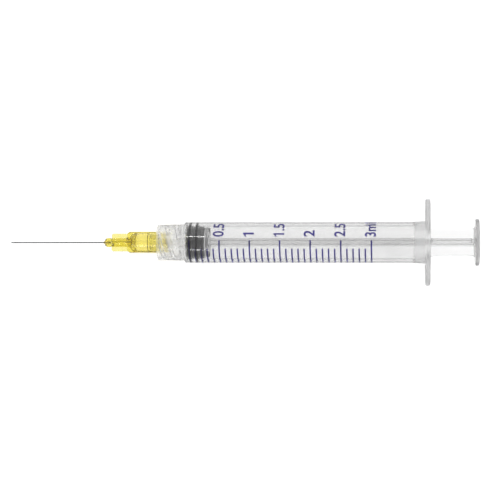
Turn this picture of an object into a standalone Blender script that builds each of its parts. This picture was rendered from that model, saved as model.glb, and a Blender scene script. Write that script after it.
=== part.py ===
"""A disposable 3 ml Luer-lock syringe with a side-vented irrigation needle, built as its real mouldings.

The syringe lies on a flat surface on the flat edge of its finger flange and the rim of its thumb rest. The needle
points along -X and the thumb rest along +X, and the origin is under the middle of the whole syringe.

Every piece is modelled about its own Z axis, which is the syringe's axis. Stations along it are measured from the
front shoulder of the barrel, positive towards the thumb rest, and the axis frame lays them along world X.
"""

import math

import bmesh
import bpy

MM = 0.001

# Driving dimensions
CAPACITY = 3000 * MM**3
SCALE_LENGTH = 46.84 * MM
BARREL_RADIUS = 5.32 * MM
FLANGE_FRONT = 62.3 * MM
FLANGE_THICKNESS = 1.3 * MM
FLANGE_LENGTH = 22.42 * MM
THUMB_FRONT = 75.05 * MM
THUMB_THICKNESS = 1.0 * MM
THUMB_RADIUS = 6.0 * MM
COLLAR_FRONT = -7.1 * MM
CONE_TIP = -9.3 * MM
HUB_NOSE = -21.5 * MM
NEEDLE_LENGTH = 25.0 * MM
NEEDLE_RADIUS = 0.1525 * MM
GAP = 0.3 * MM
FINE_GAP = 0.05 * MM

# Barrel
BORE_RADIUS = math.sqrt(CAPACITY / (math.pi * SCALE_LENGTH))
FLOOR = 0.5 * MM
SHOULDER_ROUND = 0.56 * MM
FLANGE_REAR = FLANGE_FRONT + FLANGE_THICKNESS
FLANGE_HALF_HEIGHT = THUMB_RADIUS
FLANGE_HOLE = 5.05 * MM
FLANGE_EDGE = 0.4 * MM
MOUTH_RADIUS = 5.48 * MM
MOUTH_LEAD_IN = 4.8 * MM
STOP_RING = 59.6 * MM
STOP_RING_HALF = 0.35 * MM
STOP_RING_HEIGHT = 0.2 * MM

# Luer cone and lock collar. The taper is 6% on the diameter.
LUER_SLOPE = 0.03
CONE_TIP_RADIUS = 1.99 * MM
LUMEN_RADIUS = 0.9 * MM
COLLAR_ROOT = -1.2 * MM
COLLAR_FRONT_RADIUS = 4.65 * MM
COLLAR_REAR_RADIUS = 4.755 * MM
COLLAR_ROUND = 0.55 * MM
THREAD_MAJOR = 4.0 * MM
THREAD_MINOR = 3.5 * MM
THREAD_LEAD = 5.0 * MM
THREAD_STARTS = 2
THREAD_BASE_HALF = 0.6 * MM
THREAD_CREST_HALF = 0.25 * MM
THREAD_FRONT = COLLAR_FRONT + 0.7 * MM
THREAD_REAR = COLLAR_ROOT - 0.1 * MM

# Stopper
STOPPER_FRONT = FLOOR + GAP
STOPPER_LENGTH = 4.2 * MM
STOPPER_RIB_RADIUS = BORE_RADIUS - GAP
STOPPER_WAIST_RADIUS = 3.8 * MM
STOPPER_RIBS = ((0.0, 0.95 * MM), (2.05 * MM, 2.75 * MM))
RIB_CHAMFER = 0.15 * MM
STOPPER_REAR = STOPPER_FRONT + STOPPER_LENGTH

# Plunger rod
ROD_TURN = math.radians(-7)
KNOB_RADIUS = 1.9 * MM
KNOB_TIP = 2.2 * MM
KNOB_REAR = 3.6 * MM
NECK_RADIUS = 1.2 * MM
DISC_RADIUS = 4.0 * MM
DISC_FRONT = STOPPER_REAR + GAP
DISC_REAR = DISC_FRONT + 1.0 * MM
ROD_CORE_RADIUS = 0.95 * MM
ROD_RIB_THICKNESS = 1.35 * MM
ROD_HALF_WIDTH = 3.7 * MM
ROD_WAIST = 3.345 * MM
ROD_FLARE = 3.8 * MM
THUMB_REAR = THUMB_FRONT + THUMB_THICKNESS
THUMB_EDGE = 0.35 * MM

# Needle hub
HUB_TURN = math.radians(-10)
HUB_REAR = -4.4 * MM
HUB_RADIUS = 2.55 * MM
STEM_RADIUS = 1.16 * MM
NOSE_RADIUS = 1.22 * MM
NOSE_REAR = HUB_NOSE + 1.7 * MM
FIN_FRONT = HUB_NOSE + 2.0 * MM
FIN_HALF_HEIGHT = 2.34 * MM
FIN_THICKNESS = 0.7 * MM
BODY_FRONT = -15.3 * MM
BODY_HALF_HEIGHT = 2.695 * MM
BODY_RIB_WIDTH = 1.9 * MM
BODY_RIB_REAR = -7.7 * MM
FLARE_LENGTH = 1.9 * MM
CAVITY_FRONT = -14.3 * MM
CAVITY_FLARE = 1.5 * MM
LUG_RADIUS = 3.7 * MM
LUG_HALF_WIDTH = 0.42 * MM
LUG_ARC = math.radians(36)
LUG_CENTRE = HUB_REAR - 0.6 * MM
LUG_ANGLE = HUB_TURN

# Adhesive and cannula
WELL_MOUTH = 0.8 * MM
WELL_DEPTH = 1.3 * MM
WELL_BOTTOM = 0.4 * MM
MENISCUS = 0.3 * MM
CANNULA_BORE = 0.08 * MM
CANNULA_TIP = HUB_NOSE - NEEDLE_LENGTH
CANNULA_REAR = CAVITY_FRONT + 0.9 * MM
VENT_LENGTH = 1.2 * MM
VENT_WIDTH = 0.11 * MM
VENT_SETBACK = 1.0 * MM

# Facets around each turned piece
FINE_STEPS = 40
SMALL_STEPS = 32
WIRE_STEPS = 12
MERGE = 0.000001

AXIS_HEIGHT = THUMB_RADIUS
MIDDLE = (CANNULA_TIP + THUMB_REAR) / 2


def clear_scene():
    for obj in list(bpy.data.objects):
        bpy.data.objects.remove(obj, do_unlink=True)


def new_collection(name):
    collection = bpy.data.collections.new(name)
    bpy.context.scene.collection.children.link(collection)
    return collection


def material(name, colour, roughness, metallic=0.0, alpha=1.0):
    mat = bpy.data.materials.new(name)
    mat.use_nodes = True
    shader = mat.node_tree.nodes["Principled BSDF"]
    shader.inputs["Base Color"].default_value = (*colour, 1.0)
    shader.inputs["Roughness"].default_value = roughness
    shader.inputs["Metallic"].default_value = metallic
    shader.inputs["Alpha"].default_value = alpha
    return mat


def empty(name, collection, parent=None):
    obj = bpy.data.objects.new(name, None)
    obj.empty_display_size = 4 * MM
    obj.parent = parent
    collection.objects.link(obj)
    return obj


def add_object(name, mesh, collection, parent, mat=None):
    obj = bpy.data.objects.new(name, mesh)
    obj.parent = parent
    collection.objects.link(obj)
    if mat is not None:
        mesh.materials.append(mat)
    return obj


def as_cutter(obj):
    """Marks an object that only shapes others."""
    obj.hide_render = True
    obj.display_type = "WIRE"
    return obj


def arc(centre, radius, start, end, segments):
    """Points (radius from the axis, station) on an arc, from start to end in degrees."""
    points = []
    for i in range(segments + 1):
        angle = math.radians(start + (end - start) * i / segments)
        points.append((centre[0] + radius * math.cos(angle), centre[1] + radius * math.sin(angle)))
    return points


def turned(name, profile, steps, collection, parent, mat=None):
    """A round piece: a profile of (radius, station) points, outer side from rear to front, and a Screw.

    The profile's ends are joined unless both lie on the axis.
    """
    mesh = bpy.data.meshes.new(name)
    count = len(profile)
    edges = [(i, i + 1) for i in range(count - 1)]
    if profile[0][0] > 0 or profile[-1][0] > 0:
        edges.append((count - 1, 0))
    mesh.from_pydata([(radius, 0.0, station) for radius, station in profile], edges, [])
    obj = add_object(name, mesh, collection, parent, mat)
    screw = obj.modifiers.new("turn", "SCREW")
    screw.steps = steps
    screw.render_steps = steps
    screw.use_merge_vertices = True
    screw.merge_threshold = MERGE
    screw.use_smooth_shade = True
    return obj


def plate(name, outline, thickness, collection, parent):
    """A flat plate: an outline of (across, station) points in the XZ plane, thickened evenly along Y."""
    mesh = bpy.data.meshes.new(name)
    corners = [(across, 0.0, station) for across, station in outline]
    mesh.from_pydata(corners, [], [list(range(len(corners)))])
    obj = add_object(name, mesh, collection, parent)
    solid = obj.modifiers.new("thickness", "SOLIDIFY")
    solid.thickness = thickness
    solid.offset = 0.0
    solid.use_even_offset = True
    return obj


def helical_ridge(name, section, start, turns, phase, steps_per_turn, collection, parent):
    """A right-handed ridge: a section of (radius, offset along the axis) points swept up the thread's lead."""
    bm = bmesh.new()
    count = max(2, round(abs(turns) * steps_per_turn))
    rings = []
    for i in range(count + 1):
        share = turns * i / count
        angle = phase + 2 * math.pi * share
        station = start + THREAD_LEAD * share
        ring = [
            bm.verts.new((radius * math.cos(angle), radius * math.sin(angle), station + offset))
            for radius, offset in section
        ]
        rings.append(ring)
    sides = len(section)
    for low, high in zip(rings, rings[1:]):
        for i in range(sides):
            bm.faces.new((low[i], low[(i + 1) % sides], high[(i + 1) % sides], high[i]))
    bm.faces.new(rings[0])
    bm.faces.new(rings[-1])
    bmesh.ops.recalc_face_normals(bm, faces=bm.faces)
    mesh = bpy.data.meshes.new(name)
    bm.to_mesh(mesh)
    bm.free()
    return as_cutter(add_object(name, mesh, collection, parent))


def combine(target, other, operation):
    boolean = target.modifiers.new(other.name, "BOOLEAN")
    boolean.operation = operation
    boolean.solver = "EXACT"
    boolean.object = other


def round_shading(obj):
    """Smooth round faces with crisp edges."""
    mesh = obj.data
    mesh.shade_smooth()
    mesh.set_sharp_from_angle(angle=math.radians(35))


def luer_radius(station):
    """Radius of the male cone at a station."""
    return CONE_TIP_RADIUS + LUER_SLOPE * (station - CONE_TIP)


def ridge_start(station):
    """Angle about the axis of the first thread ridge at a station, set so that the lugs sit between ridges."""
    half_pitch = THREAD_LEAD / THREAD_STARTS / 2
    return LUG_ANGLE + 2 * math.pi * (station - (LUG_CENTRE + half_pitch)) / THREAD_LEAD


def barrel_profile():
    rear_outside = [(MOUTH_RADIUS, FLANGE_REAR), (MOUTH_RADIUS, FLANGE_FRONT), (BARREL_RADIUS, STOP_RING)]
    shoulder = arc(
        (BARREL_RADIUS - SHOULDER_ROUND, SHOULDER_ROUND), SHOULDER_ROUND, 0, -90, 4
    )
    collar_edge = arc(
        (COLLAR_FRONT_RADIUS - COLLAR_ROUND, COLLAR_FRONT + COLLAR_ROUND), COLLAR_ROUND, 0, -90, 4
    )
    collar_inside = [(THREAD_MAJOR, COLLAR_FRONT + 0.1 * MM), (THREAD_MAJOR, COLLAR_ROOT)]
    cone = [
        (luer_radius(COLLAR_ROOT), COLLAR_ROOT),
        (luer_radius(CONE_TIP), CONE_TIP + 0.2 * MM),
        (CONE_TIP_RADIUS - 0.2 * MM, CONE_TIP),
        (LUMEN_RADIUS, CONE_TIP),
        (LUMEN_RADIUS, FLOOR),
    ]
    bore = [
        (BORE_RADIUS - 0.2 * MM, FLOOR),
        (BORE_RADIUS, FLOOR + 0.2 * MM),
        (BORE_RADIUS, STOP_RING - STOP_RING_HALF),
        (BORE_RADIUS - STOP_RING_HEIGHT, STOP_RING),
        (BORE_RADIUS, STOP_RING + STOP_RING_HALF),
        (BORE_RADIUS, FLANGE_FRONT),
        (MOUTH_LEAD_IN, FLANGE_REAR),
    ]
    collar_outside = [(COLLAR_REAR_RADIUS, 0.0)]
    return rear_outside + shoulder + collar_outside + collar_edge + collar_inside + cone + bore


def flange_outline():
    """A disc of the flange's length with two flat sides."""
    radius = FLANGE_LENGTH / 2
    half = math.asin(FLANGE_HALF_HEIGHT / radius)
    segments = 12
    points = []
    for side in (0, math.pi):
        for i in range(segments + 1):
            angle = side - half + 2 * half * i / segments
            points.append((radius * math.sin(angle), radius * math.cos(angle)))
    return points


def make_barrel(parts, cutters, frame, mat):
    barrel = turned("barrel", barrel_profile(), FINE_STEPS, parts, frame, mat)
    flange = plate("flange_blank", flange_outline(), FLANGE_THICKNESS, cutters, frame)
    flange.location = (0.0, 0.0, FLANGE_FRONT + FLANGE_THICKNESS / 2)
    flange.rotation_euler = (math.radians(90), 0.0, 0.0)
    edge = flange.modifiers.new("edge", "BEVEL")
    edge.width = FLANGE_EDGE
    edge.segments = 3
    edge.limit_method = "ANGLE"
    edge.angle_limit = math.radians(60)
    hole_profile = [
        (0.0, FLANGE_REAR + MM),
        (FLANGE_HOLE, FLANGE_REAR + MM),
        (FLANGE_HOLE, FLANGE_FRONT - MM),
        (0.0, FLANGE_FRONT - MM),
    ]
    hole = as_cutter(turned("flange_hole", hole_profile, FINE_STEPS, cutters, frame))
    combine(flange, hole, "DIFFERENCE")
    combine(barrel, as_cutter(flange), "UNION")
    section = [
        (THREAD_MAJOR + 0.15 * MM, THREAD_BASE_HALF),
        (THREAD_MINOR, THREAD_CREST_HALF),
        (THREAD_MINOR, -THREAD_CREST_HALF),
        (THREAD_MAJOR + 0.15 * MM, -THREAD_BASE_HALF),
    ]
    turns = (THREAD_REAR - THREAD_FRONT) / THREAD_LEAD
    for i in range(THREAD_STARTS):
        phase = ridge_start(THREAD_FRONT) + 2 * math.pi * i / THREAD_STARTS
        ridge = helical_ridge(
            f"thread_ridge_{i + 1}", section, THREAD_FRONT, turns, phase, FINE_STEPS, cutters, frame
        )
        combine(barrel, ridge, "UNION")
    return barrel


def stopper_profile():
    pocket = [
        (0.0, KNOB_TIP - GAP),
        (NECK_RADIUS + GAP, KNOB_TIP - GAP),
        (KNOB_RADIUS + GAP, KNOB_TIP + GAP),
        (KNOB_RADIUS + GAP, KNOB_REAR + GAP),
        (NECK_RADIUS + GAP, KNOB_REAR + GAP),
        (NECK_RADIUS + GAP, STOPPER_REAR),
    ]
    outside = [(STOPPER_WAIST_RADIUS, STOPPER_REAR)]
    for start, end in reversed(STOPPER_RIBS):
        front = STOPPER_FRONT + start
        rear = STOPPER_FRONT + end
        outside += [
            (STOPPER_WAIST_RADIUS, rear + RIB_CHAMFER),
            (STOPPER_RIB_RADIUS, rear - RIB_CHAMFER),
            (STOPPER_RIB_RADIUS, front + RIB_CHAMFER),
            (STOPPER_WAIST_RADIUS, front if front == STOPPER_FRONT else front - RIB_CHAMFER),
        ]
    return pocket + outside + [(0.0, STOPPER_FRONT)]


def rod_profile():
    thumb_rear = [(0.0, THUMB_REAR), (THUMB_RADIUS - THUMB_EDGE, THUMB_REAR)]
    thumb_edge = arc(
        (THUMB_RADIUS - THUMB_EDGE, THUMB_REAR - THUMB_EDGE), THUMB_EDGE, 60, 0, 2
    ) + arc((THUMB_RADIUS - THUMB_EDGE, THUMB_FRONT + THUMB_EDGE), THUMB_EDGE, 0, -90, 3)
    shaft = [
        (ROD_CORE_RADIUS + 0.5 * MM, THUMB_FRONT),
        (ROD_CORE_RADIUS, THUMB_FRONT - 0.5 * MM),
        (ROD_CORE_RADIUS, DISC_REAR),
    ]
    disc = [(DISC_RADIUS, DISC_REAR), (DISC_RADIUS, DISC_FRONT), (NECK_RADIUS, DISC_FRONT)]
    knob = [
        (NECK_RADIUS, KNOB_REAR),
        (KNOB_RADIUS, KNOB_REAR),
        (KNOB_RADIUS, KNOB_TIP + 2 * GAP),
        (NECK_RADIUS, KNOB_TIP),
        (0.0, KNOB_TIP),
    ]
    return thumb_rear + thumb_edge + shaft + disc + knob


def rod_half_width(station):
    """Half the width of a rod rib: full inside the barrel, slim where the fingers go, flared at the thumb rest."""
    slim_start = FLANGE_REAR
    slim_end = slim_start + 2.5 * MM
    flare_start = THUMB_FRONT - 2.0 * MM
    if station <= slim_start:
        return ROD_HALF_WIDTH
    if station < slim_end:
        share = (station - slim_start) / (slim_end - slim_start)
        return ROD_HALF_WIDTH + (ROD_WAIST - ROD_HALF_WIDTH) * (1 - (1 - share) ** 2)
    if station <= flare_start:
        return ROD_WAIST
    share = min(1.0, (station - flare_start) / (THUMB_FRONT - flare_start))
    return ROD_WAIST + (ROD_FLARE - ROD_WAIST) * share**2


def rod_rib_outline():
    embed = 0.4 * MM
    stations = [DISC_REAR - embed, FLANGE_REAR]
    stations += [FLANGE_REAR + 2.5 * MM * i / 4 for i in range(1, 5)]
    stations += [THUMB_FRONT - 2.0 * MM * (1 - i / 5) for i in range(6)]
    stations.append(THUMB_FRONT + embed)
    right = [(rod_half_width(s), s) for s in stations]
    left = [(-across, s) for across, s in reversed(right)]
    return right + left


def make_rod(parts, cutters, joint, mat):
    rod = turned("plunger_rod", rod_profile(), SMALL_STEPS, parts, joint, mat)
    rod.rotation_euler = (0.0, 0.0, ROD_TURN)
    for i in range(2):
        rib = plate(f"rod_rib_{i + 1}", rod_rib_outline(), ROD_RIB_THICKNESS, cutters, joint)
        rib.rotation_euler = (0.0, 0.0, ROD_TURN + math.radians(90) * i)
        combine(rod, as_cutter(rib), "UNION")
    return rod


def hub_profile():
    """Outside of the hub, from the lug end to the nose, closed on the axis."""
    flare = []
    segments = 6
    for i in range(segments + 1):
        turn = math.pi * i / segments
        radius = STEM_RADIUS + (HUB_RADIUS - STEM_RADIUS) * (1 + math.cos(turn)) / 2
        flare.append((radius, BODY_FRONT + FLARE_LENGTH * (1 - i / segments)))
    nose_round = 0.5 * MM
    groove = 0.15 * MM
    neck = [
        (STEM_RADIUS, FIN_FRONT),
        (NOSE_RADIUS - groove, FIN_FRONT - 0.05 * MM),
        (NOSE_RADIUS - groove, NOSE_REAR),
        (NOSE_RADIUS, NOSE_REAR - 0.1 * MM),
    ]
    nose = arc((NOSE_RADIUS - nose_round, HUB_NOSE + nose_round), nose_round, 0, -70, 3)
    tip = [(WELL_MOUTH + 0.05 * MM, HUB_NOSE), (0.0, HUB_NOSE)]
    return [(0.0, HUB_REAR), (HUB_RADIUS, HUB_REAR)] + flare + neck + nose + tip


def hub_bore_profile():
    """The Luer socket, the cavity in front of the cone, the cannula's bore and the glue well."""
    socket_rear = HUB_REAR + MM
    cavity_rear = CAVITY_FRONT + CAVITY_FLARE
    bore = NEEDLE_RADIUS + FINE_GAP
    return [
        (0.0, socket_rear),
        (luer_radius(socket_rear) + FINE_GAP, socket_rear),
        (luer_radius(cavity_rear) + FINE_GAP, cavity_rear),
        (1.6 * MM, CAVITY_FRONT + CAVITY_FLARE / 3),
        (0.8 * MM, CAVITY_FRONT),
        (bore, CAVITY_FRONT),
        (bore, HUB_NOSE + WELL_DEPTH),
        (WELL_BOTTOM, HUB_NOSE + WELL_DEPTH),
        (WELL_MOUTH, HUB_NOSE),
        (WELL_MOUTH, HUB_NOSE - MM),
        (0.0, HUB_NOSE - MM),
    ]


def chamfered_outline(half, front, rear, chamfer):
    return [
        (half, front + chamfer),
        (half, rear),
        (-half, rear),
        (-half, front + chamfer),
        (-half + chamfer, front),
        (half - chamfer, front),
    ]


def make_hub(parts, cutters, joint, mat):
    hub = turned("needle_hub", hub_profile(), SMALL_STEPS, parts, joint, mat)
    hub.rotation_euler = (0.0, 0.0, HUB_TURN)
    fins = chamfered_outline(FIN_HALF_HEIGHT, FIN_FRONT, BODY_FRONT + 1.2 * MM, 0.3 * MM)
    ribs = chamfered_outline(BODY_HALF_HEIGHT, BODY_FRONT, BODY_RIB_REAR, 0.5 * MM)
    for i in range(2):
        turn = HUB_TURN + math.radians(90) * i
        for kind, outline, thickness in (("fin", fins, FIN_THICKNESS), ("rib", ribs, BODY_RIB_WIDTH)):
            blade = plate(f"hub_{kind}_{i + 1}", outline, thickness, cutters, joint)
            blade.rotation_euler = (0.0, 0.0, turn)
            combine(hub, as_cutter(blade), "UNION")
    section = [
        (LUG_RADIUS, LUG_HALF_WIDTH * 0.7),
        (LUG_RADIUS, -LUG_HALF_WIDTH * 0.7),
        (HUB_RADIUS - 0.15 * MM, -LUG_HALF_WIDTH),
        (HUB_RADIUS - 0.15 * MM, LUG_HALF_WIDTH),
    ]
    turns = LUG_ARC / (2 * math.pi)
    for i in range(THREAD_STARTS):
        phase = LUG_ANGLE - LUG_ARC / 2 + 2 * math.pi * i / THREAD_STARTS
        start = LUG_CENTRE - THREAD_LEAD * turns / 2
        lug = helical_ridge(f"hub_lug_{i + 1}", section, start, turns, phase, 60, cutters, joint)
        combine(hub, lug, "UNION")
    bore = as_cutter(turned("hub_bore", hub_bore_profile(), SMALL_STEPS, cutters, joint))
    combine(hub, bore, "DIFFERENCE")
    return hub


def make_cannula(parts, cutters, joint, mat):
    tip_centre = CANNULA_TIP + NEEDLE_RADIUS
    lumen_front = CANNULA_TIP + VENT_SETBACK - 0.4 * MM
    profile = [
        (0.0, lumen_front),
        (CANNULA_BORE, lumen_front),
        (CANNULA_BORE, CANNULA_REAR),
        (NEEDLE_RADIUS, CANNULA_REAR),
    ]
    profile += arc((0.0, tip_centre), NEEDLE_RADIUS, 0, -67.5, 3) + [(0.0, CANNULA_TIP)]
    cannula = turned("cannula", profile, WIRE_STEPS, parts, joint, mat)
    cannula.rotation_euler = (0.0, 0.0, HUB_TURN)
    vent_front = CANNULA_TIP + VENT_SETBACK
    vent = plate(
        "cannula_vent",
        [
            (0.0, vent_front),
            (-2 * NEEDLE_RADIUS, vent_front),
            (-2 * NEEDLE_RADIUS, vent_front + VENT_LENGTH),
            (0.0, vent_front + VENT_LENGTH),
        ],
        VENT_WIDTH,
        cutters,
        joint,
    )
    vent.rotation_euler = (0.0, 0.0, HUB_TURN)
    combine(cannula, as_cutter(vent), "DIFFERENCE")
    return cannula


def make_adhesive(parts, joint, mat):
    """The glue that fills the well in the nose and rises a little way up the cannula."""
    inside = NEEDLE_RADIUS + FINE_GAP
    profile = [
        (inside, HUB_NOSE + WELL_DEPTH - FINE_GAP),
        (WELL_BOTTOM - FINE_GAP, HUB_NOSE + WELL_DEPTH - FINE_GAP),
        (WELL_MOUTH - FINE_GAP, HUB_NOSE),
        (WELL_MOUTH - 3 * FINE_GAP, HUB_NOSE - MENISCUS * 0.4),
        (WELL_MOUTH / 2, HUB_NOSE - MENISCUS * 0.75),
        (inside, HUB_NOSE - MENISCUS),
    ]
    return turned("adhesive_bead", profile, WIRE_STEPS, parts, joint, mat)


def main():
    clear_scene()
    parts = new_collection("syringe")
    cutters = new_collection("syringe_cutters")

    clear_plastic = material("clear_plastic", (0.86, 0.87, 0.88), 0.25, alpha=0.4)
    frosted_plastic = material("frosted_plastic", (0.78, 0.79, 0.80), 0.4, alpha=0.6)
    grey_rubber = material("grey_rubber", (0.09, 0.09, 0.095), 0.7)
    yellow_plastic = material("yellow_plastic", (0.86, 0.70, 0.10), 0.35, alpha=0.7)
    steel = material("steel", (0.62, 0.63, 0.65), 0.3, metallic=1.0)
    clear_adhesive = material("clear_adhesive", (0.85, 0.78, 0.45), 0.2, alpha=0.6)

    frame = empty("syringe_axis", parts)
    frame.location = (-MIDDLE, 0.0, AXIS_HEIGHT)
    frame.rotation_euler = (0.0, math.radians(90), 0.0)
    plunger_joint = empty("plunger_joint", parts, frame)
    rod_joint = empty("rod_joint", parts, plunger_joint)
    needle_joint = empty("needle_joint", parts, frame)
    hub_joint = empty("hub_joint", parts, needle_joint)

    make_barrel(parts, cutters, frame, clear_plastic)
    turned("stopper", stopper_profile(), SMALL_STEPS, parts, plunger_joint, grey_rubber)
    make_rod(parts, cutters, rod_joint, frosted_plastic)
    make_hub(parts, cutters, hub_joint, yellow_plastic)
    make_cannula(parts, cutters, hub_joint, steel)
    make_adhesive(parts, needle_joint, clear_adhesive)

    for obj in parts.objects:
        if obj.type == "MESH":
            round_shading(obj)


main()
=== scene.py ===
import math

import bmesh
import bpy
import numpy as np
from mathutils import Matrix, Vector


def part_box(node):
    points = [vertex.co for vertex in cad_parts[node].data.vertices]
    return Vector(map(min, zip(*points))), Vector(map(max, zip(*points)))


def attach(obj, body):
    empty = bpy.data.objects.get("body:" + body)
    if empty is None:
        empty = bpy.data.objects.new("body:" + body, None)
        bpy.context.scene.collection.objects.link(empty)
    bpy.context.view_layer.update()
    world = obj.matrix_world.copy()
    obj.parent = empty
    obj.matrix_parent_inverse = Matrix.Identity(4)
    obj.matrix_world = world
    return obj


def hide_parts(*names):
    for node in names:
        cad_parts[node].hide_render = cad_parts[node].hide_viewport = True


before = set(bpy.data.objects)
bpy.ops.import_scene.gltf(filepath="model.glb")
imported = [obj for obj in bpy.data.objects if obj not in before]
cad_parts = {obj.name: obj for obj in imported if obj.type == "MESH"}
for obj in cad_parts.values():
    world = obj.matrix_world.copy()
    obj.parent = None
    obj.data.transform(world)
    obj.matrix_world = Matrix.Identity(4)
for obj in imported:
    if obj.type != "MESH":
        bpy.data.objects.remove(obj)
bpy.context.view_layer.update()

# The looks of a disposable 3 ml Luer-lock syringe with a side-vented needle: finer mouldings, the printed
# scale, materials, floor, light and camera. Lengths are in metres. Pieces are lofted from rings about the
# syringe's axis. Stations along it are measured from the barrel's front shoulder, positive towards the thumb
# rest.

MM = 0.001
SHARP_EDGE = math.radians(38)

# Where the pieces are, from the CAD frame
CONE_LENGTH = 9.3 * MM
barrel_low, barrel_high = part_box("barrel")
_, rod_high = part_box("plunger_rod")
hub_low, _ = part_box("needle_hub")
cannula_low, cannula_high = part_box("cannula")
SHOULDER_X = barrel_low.x + CONE_LENGTH
AXIS_HEIGHT = (barrel_low.z + barrel_high.z) / 2
AXIS = Matrix.Translation((SHOULDER_X, 0.0, AXIS_HEIGHT)) @ Matrix.Rotation(math.radians(90), 4, "Y")

# Barrel
BARREL_SIDES = 200
CONE_TIP = -CONE_LENGTH
FLANGE_REAR = barrel_high.x - SHOULDER_X
FLANGE_THICKNESS = 1.3 * MM
FLANGE_FRONT = FLANGE_REAR - FLANGE_THICKNESS
FLANGE_RADIUS = barrel_high.y
FLANGE_HALF_HEIGHT = AXIS_HEIGHT
FLANGE_CORNER = 14
FLANGE_EDGE = 0.42 * MM
BARREL_RADIUS = 5.32 * MM
BORE_RADIUS = 4.515 * MM
FLOOR = 0.5 * MM
MOUTH_RADIUS = 5.48 * MM
MOUTH_LEAD_IN = 4.8 * MM
STOP_RING = 59.6 * MM
STOP_RING_HALF = 0.42 * MM
STOP_RING_HEIGHT = 0.07 * MM
LUER_SLOPE = 0.03
CONE_TIP_RADIUS = 1.99 * MM
LUMEN_RADIUS = 0.9 * MM
COLLAR_FRONT = -7.1 * MM
COLLAR_ROOT = -1.2 * MM
COLLAR_FRONT_RADIUS = 4.65 * MM
COLLAR_REAR_RADIUS = 4.755 * MM

# Lock thread: two starts, right-handed
THREAD_LEAD = 5.0 * MM
THREAD_PITCH = THREAD_LEAD / 2
THREAD_MAJOR = 4.0 * MM
THREAD_HEIGHT = 0.5 * MM
THREAD_BASE_HALF = 0.55 * MM
THREAD_CREST_HALF = 0.22 * MM
THREAD_FRONT = -6.4 * MM
THREAD_REAR = -1.3 * MM
THREAD_WALL_FRONT = COLLAR_FRONT + 0.5 * MM
THREAD_WALL_LENGTH = COLLAR_ROOT - 0.02 * MM - COLLAR_FRONT - 0.5 * MM
THREAD_STEPS = 62

# Stopper, with two sealing ribs and a pocket for the rod's knob
STOPPER_SIDES = 128
STOPPER_FRONT = 0.8 * MM
STOPPER_REAR = 5.0 * MM
STOPPER_WAIST = 4.18 * MM
STOPPER_CONTACT = BORE_RADIUS + 0.02 * MM
FRONT_RIB = (STOPPER_FRONT + 0.5 * MM, STOPPER_FRONT + 1.1 * MM)
STOPPER_NECK = (STOPPER_FRONT + 1.35 * MM, STOPPER_FRONT + 2.0 * MM)
REAR_RIB = (STOPPER_FRONT + 2.25 * MM, STOPPER_FRONT + 2.85 * MM)
STOPPER_TAIL = STOPPER_FRONT + 3.1 * MM
POCKET_MOUTH_RADIUS = 1.5 * MM
POCKET_RADIUS = 2.2 * MM
POCKET_REAR = 3.9 * MM
POCKET_MIDDLE = 2.5 * MM
POCKET_FRONT = 1.9 * MM
PROFILE_START = 0.2 * MM  # radius of an end ring that a fan of faces closes

# Plunger rod
ROD_SIDES = 480
ROD_TURN = math.radians(-7)
ROD_RIB_HALF = 0.675 * MM
ROD_HALF_WIDTH = 3.7 * MM
ROD_WAIST = 3.345 * MM
ROD_FLARE = 3.8 * MM
ROD_CORNER = 0.2 * MM
ROD_ROOT = 0.25 * MM
ROD_FILLET = 0.3 * MM
DISC_FILLET_SHARE = 0.7
ROD_MIDDLE = 30 * MM
ROD_NEAR_MOUTH = 62.5 * MM
ROD_SLIM_END = 69 * MM
KNOB_FRONT = 2.2 * MM
KNOB_SHOULDER = 2.8 * MM
KNOB_REAR = 3.6 * MM
KNOB_RADIUS = 1.9 * MM
KNOB_NECK = 1.2 * MM
DISC_RADIUS = 4.0 * MM
DISC_FRONT = 5.3 * MM
DISC_REAR = 6.3 * MM
THUMB_REAR = rod_high.x - SHOULDER_X
THUMB_THICKNESS = 1.0 * MM
THUMB_FRONT = THUMB_REAR - THUMB_THICKNESS
THUMB_RADIUS = AXIS_HEIGHT
GATE_RADIUS = 0.62 * MM
GATE_DEPTH = 0.12 * MM
SLIM_LENGTH = 2.5 * MM
FLARE_LENGTH = 2.0 * MM

# Needle hub
HUB_SIDES = 400
HUB_TURN = math.radians(-10)
HUB_NOSE = hub_low.x - SHOULDER_X
HUB_REAR = -4.4 * MM
HUB_RADIUS = 2.55 * MM
STEM_RADIUS = 1.16 * MM
NOSE_RADIUS = 1.22 * MM
NOSE_RIM = HUB_NOSE + 0.3 * MM
NOSE_LENGTH = 0.9 * MM
NOSE_GROOVE = 0.15 * MM
FIN_FRONT = HUB_NOSE + 2.0 * MM
FIN_HALF_HEIGHT = 2.34 * MM
FIN_HALF = 0.35 * MM
FIN_CHAMFER = 0.3 * MM
BODY_FRONT = -15.3 * MM
BODY_FLARE = 1.9 * MM
BODY_HALF_HEIGHT = 2.695 * MM
BODY_RIB_HALF = 0.95 * MM
BODY_RIB_REAR = -7.7 * MM
BODY_CHAMFER = 0.5 * MM
BODY_MIDDLE = -10 * MM
STEM_MIDDLE = -17 * MM
CAVITY_FRONT = -14.3 * MM
CAVITY_RADIUS = 2.3 * MM
SOCKET_GAP = 0.05 * MM
LUG_CENTRE = -5.0 * MM
LUG_RADIUS = 3.7 * MM
LUG_ARC = math.radians(36)
LUG_ANGLE = HUB_TURN
LUG_FADE = math.radians(5)
LUG_CREST_HALF = 0.28 * MM
LUG_BASE_HALF = 0.44 * MM
LUG_REACH = 0.9 * MM
LUG_RINGS = 25
LUG_RING_STEP = 0.06 * MM
LUG_ZONE_END = -6.2 * MM

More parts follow.
